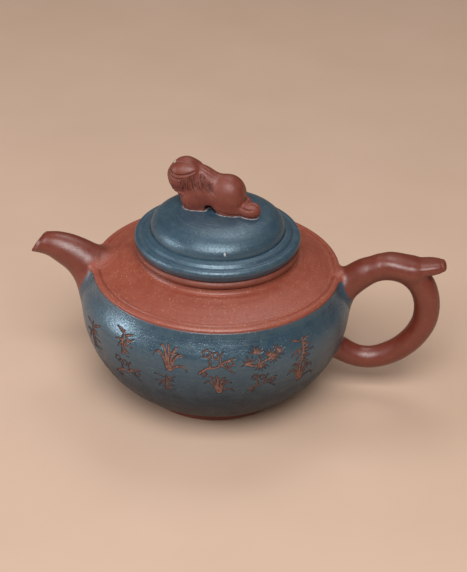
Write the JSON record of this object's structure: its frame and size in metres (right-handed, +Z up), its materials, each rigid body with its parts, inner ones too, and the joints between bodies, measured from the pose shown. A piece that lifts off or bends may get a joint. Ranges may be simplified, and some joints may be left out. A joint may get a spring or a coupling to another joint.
{
  "type": "clay teapot",
  "caption": "Hand-built stoneware teapot with a bellied slip-coated body, short curved spout, loop handle with a thumb rest, and a lift-off domed lid with a lying-lion knob.",
  "frame": {"origin": "on the surface the pot stands on, at the centre of the whole pot's bounding box seen from above; the pot's turned axis is 7.25 mm to -X of it", "axes": "+Z up along the turned axis; -X towards the spout, +X towards the handle; +Y to the far side when the spout is on the left"},
  "size_m": [0.1531, 0.1, 0.0928],
  "materials": {
    "red_clay": "unglazed red-brown zisha clay with pale sand grains, burnished to a soft satin sheen",
    "dark_clay": "darker red-brown unglazed clay, matte with a light burnish on the edges",
    "blue_slip": "thin slate-blue slip over red clay, fine-grained satin, worn to clay where carved and at the foot",
    "lion_clay": "smooth modelled red-brown clay with a satin sheen and incised mane"
  },
  "bodies": {
    "pot": {"foot_ring": "dark_clay", "base_disc": "red_clay", "body_wall": "blue_slip", "shoulder_disc": "red_clay", "shoulder_line": "red_clay", "neck_ring": "dark_clay", "mouth_rim": "dark_clay", "spout": "red_clay", "spout_strainer": "red_clay", "handle_loop": "red_clay", "handle_thumb_rest": "red_clay"},
    "lid": {"lid_rim": "blue_slip", "lid_dome": "blue_slip", "lid_flange": "red_clay", "lion_head": "lion_clay", "lion_torso": "lion_clay", "lion_beard": "lion_clay", "lion_ear_near": "lion_clay", "lion_ear_far": "lion_clay", "lion_foreleg_near": "lion_clay", "lion_foreleg_far": "lion_clay", "lion_thigh_near": "lion_clay", "lion_thigh_far": "lion_clay", "lion_hindpaw_near": "lion_clay", "lion_hindpaw_far": "lion_clay"}
  },
  "joints": [
    {"name": "lid_lift", "type": "slide", "parent": "pot", "child": "lid", "axis": [0, 0, 1], "range_m": [0, 0.08]}
  ]
}
